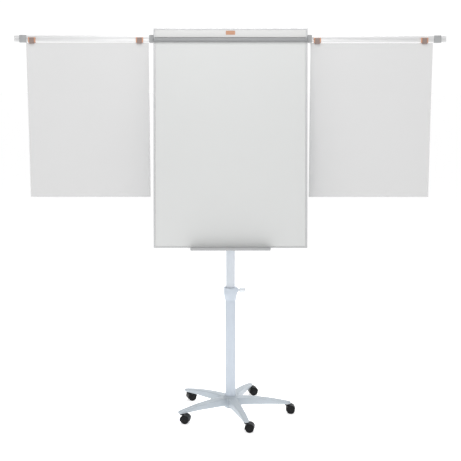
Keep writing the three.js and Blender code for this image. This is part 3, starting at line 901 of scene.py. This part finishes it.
def sheet(side, at):
    """Heavy paper: straight between the jaws, then plumb, with the slow belly of a sheet that was rolled."""
    low, high = (corner.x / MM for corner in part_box("sheet_" + side))
    across, down = 56, 96
    top = WEB_BOTTOM - 0.3
    bend = GRIP_BOTTOM - 1
    fall = SHEET_SIZE[1] / MM - (top - bend)
    thick = 0.3
    mirror = 1 if side == "left" else -1

    def shape(u, v):
        """y and z of the middle surface, u across from the outer edge, v down from the top in millimetres."""
        grip = top - bend
        if v <= grip:
            return 0.0, top - v
        s = v - grip
        share = s / fall
        y = math.sin(LEAN) * (s - 9 * (1 - math.exp(-s / 9)))
        z = bend - math.cos(LEAN) * s
        belly = -5.0 * math.sin(math.pi * u) * min(1.0, s / 220) ** 2 * (1 - 0.5 * share)
        corner = -7.0 * share**3 * (abs(2 * u - 1) ** 2.5)
        wave = 1.6 * math.sin(2 * math.pi * (u * 0.9 + 0.15)) * share * share
        return y + belly + corner + wave, z

    bm = bmesh.new()
    rows = []
    for layer in (-1, 1):
        grid = []
        for j in range(down + 1):
            v = 12 * j / 6 if j < 6 else 12 + (SHEET_SIZE[1] / MM - 12) * (j - 6) / (down - 6)
            row = []
            for i in range(across + 1):
                u = i / across
                y, z = shape(u, v)
                x = low + (high - low) * (u if mirror > 0 else 1 - u)
                row.append(bm.verts.new(Vector((x, y + layer * thick / 2, z)) * MM))
            grid.append(row)
        rows.append(grid)
    front, back = rows
    for j in range(down):
        for i in range(across):
            bm.faces.new((front[j][i], front[j + 1][i], front[j + 1][i + 1], front[j][i + 1]))
            bm.faces.new((back[j][i], back[j][i + 1], back[j + 1][i + 1], back[j + 1][i]))
    rim = [(0, i) for i in range(across)] + [(j, across) for j in range(down)]
    rim += [(down, i) for i in range(across, 0, -1)] + [(j, 0) for j in range(down, 0, -1)]
    for (j, i), (n, m) in zip(rim, rim[1:] + rim[:1]):
        bm.faces.new((front[j][i], front[n][m], back[n][m], back[j][i]))
    made = to_object("hanging_sheet_" + side, bm, shifted(BOARD, 0, at.y, at.z))
    piece(made, "arm_" + side, "paper", "sheet_" + side)


for side, sign in (("left", -1), ("right", 1)):
    arm_bar(side)
    arm_stop(side, sign)
    arm_at = on_board("arm_" + side)
    holders = []
    for place_name in ("inner", "outer"):
        holders += clip(side, place_name, arm_at)
    sheet(side, arm_at)

# ---------------------------------------------------------------- CAD nodes that stay

slots = {}
for subpart in frame["record"]["subparts"]:
    if "material_slot" in subpart:
        slots[subpart.get("node", subpart.get("name"))] = subpart["material_slot"]
for name, node in frame["nodes"].items():
    if node.hide_render:
        continue
    node.data.materials.clear()
    node.data.materials.append(FINISH[slots[name]])
    weld = node.modifiers.new("weld", "WELD")
    weld.merge_threshold = 2e-6
    soften(node, 0.5, 2, 35)

# ---------------------------------------------------------------- floor, light and camera

bm = bmesh.new()
bmesh.ops.create_grid(bm, x_segments=8, y_segments=8, size=40)
floor = to_object("floor", bm)
floor_look, floor_tree, floor_shader = nodes_of("floor_white")
drift = texture(floor_tree, "ShaderNodeTexNoise", 1.5)
floor_tone = blend_colour(floor_tree, drift, (0.93, 0.93, 0.935), (0.95, 0.95, 0.95))
floor_tree.links.new(floor_tone, floor_shader.inputs["Base Color"])
floor_shader.inputs["Roughness"].default_value = 0.9
floor_shader.inputs["Emission Color"].default_value = (1, 1, 1, 1)
floor_shader.inputs["Emission Strength"].default_value = 0.58
floor.data.materials.append(floor_look)

scene = bpy.context.scene
ROOM = {"low": 1.05, "high": 0.32}
world = bpy.data.worlds.new("studio")
scene.world = world
world.use_nodes = True
sky = world.node_tree
where = sky.nodes.new("ShaderNodeTexCoord")
split = sky.nodes.new("ShaderNodeSeparateXYZ")
sky.links.new(where.outputs["Generated"], split.inputs[0])
upward = sky.nodes.new("ShaderNodeMapRange")
upward.inputs["From Min"].default_value = 0.2
upward.inputs["From Max"].default_value = 0.55
upward.inputs["To Min"].default_value = ROOM["low"]
upward.inputs["To Max"].default_value = ROOM["high"]
sky.links.new(split.outputs["Z"], upward.inputs["Value"])
sky.nodes["Background"].inputs["Color"].default_value = (1, 1, 1, 1)
sky.links.new(upward.outputs["Result"], sky.nodes["Background"].inputs["Strength"])


def lamp(name, kind, energy, at, aim, **values):
    data = bpy.data.lights.new(name, kind)
    data.energy = energy
    for key, value in values.items():
        setattr(data, key, value)
    made = bpy.data.objects.new(name, data)
    scene.collection.objects.link(made)
    made.location = at
    made.rotation_euler = (Vector(aim) - Vector(at)).to_track_quat("-Z", "Y").to_euler()
    return made


lamp("overhead", "AREA", 30, (-0.1, -2.0, 3.5), (0, 0, 1.2), shape="DISK", size=1.8)
lamp("low_fill", "AREA", 5, (-0.6, -3.2, 0.7), (0, 0, 0.6), shape="DISK", size=1.6)
lamp("behind_top", "AREA", 72, (0.3, 1.3, 3.4), (0, 0, 0), shape="DISK", size=2.2)

view = bpy.data.cameras.new("front_view")
view.lens = 80.64
view.sensor_width = 36
view.clip_end = 200
camera = bpy.data.objects.new("front_view", view)
scene.collection.objects.link(camera)
camera.location = (0, -4.774, 1.715)
camera.rotation_euler = (math.radians(90 - 9.8), 0, 0)
scene.camera = camera
scene.view_settings.view_transform = "Standard"
scene.view_settings.look = "None"
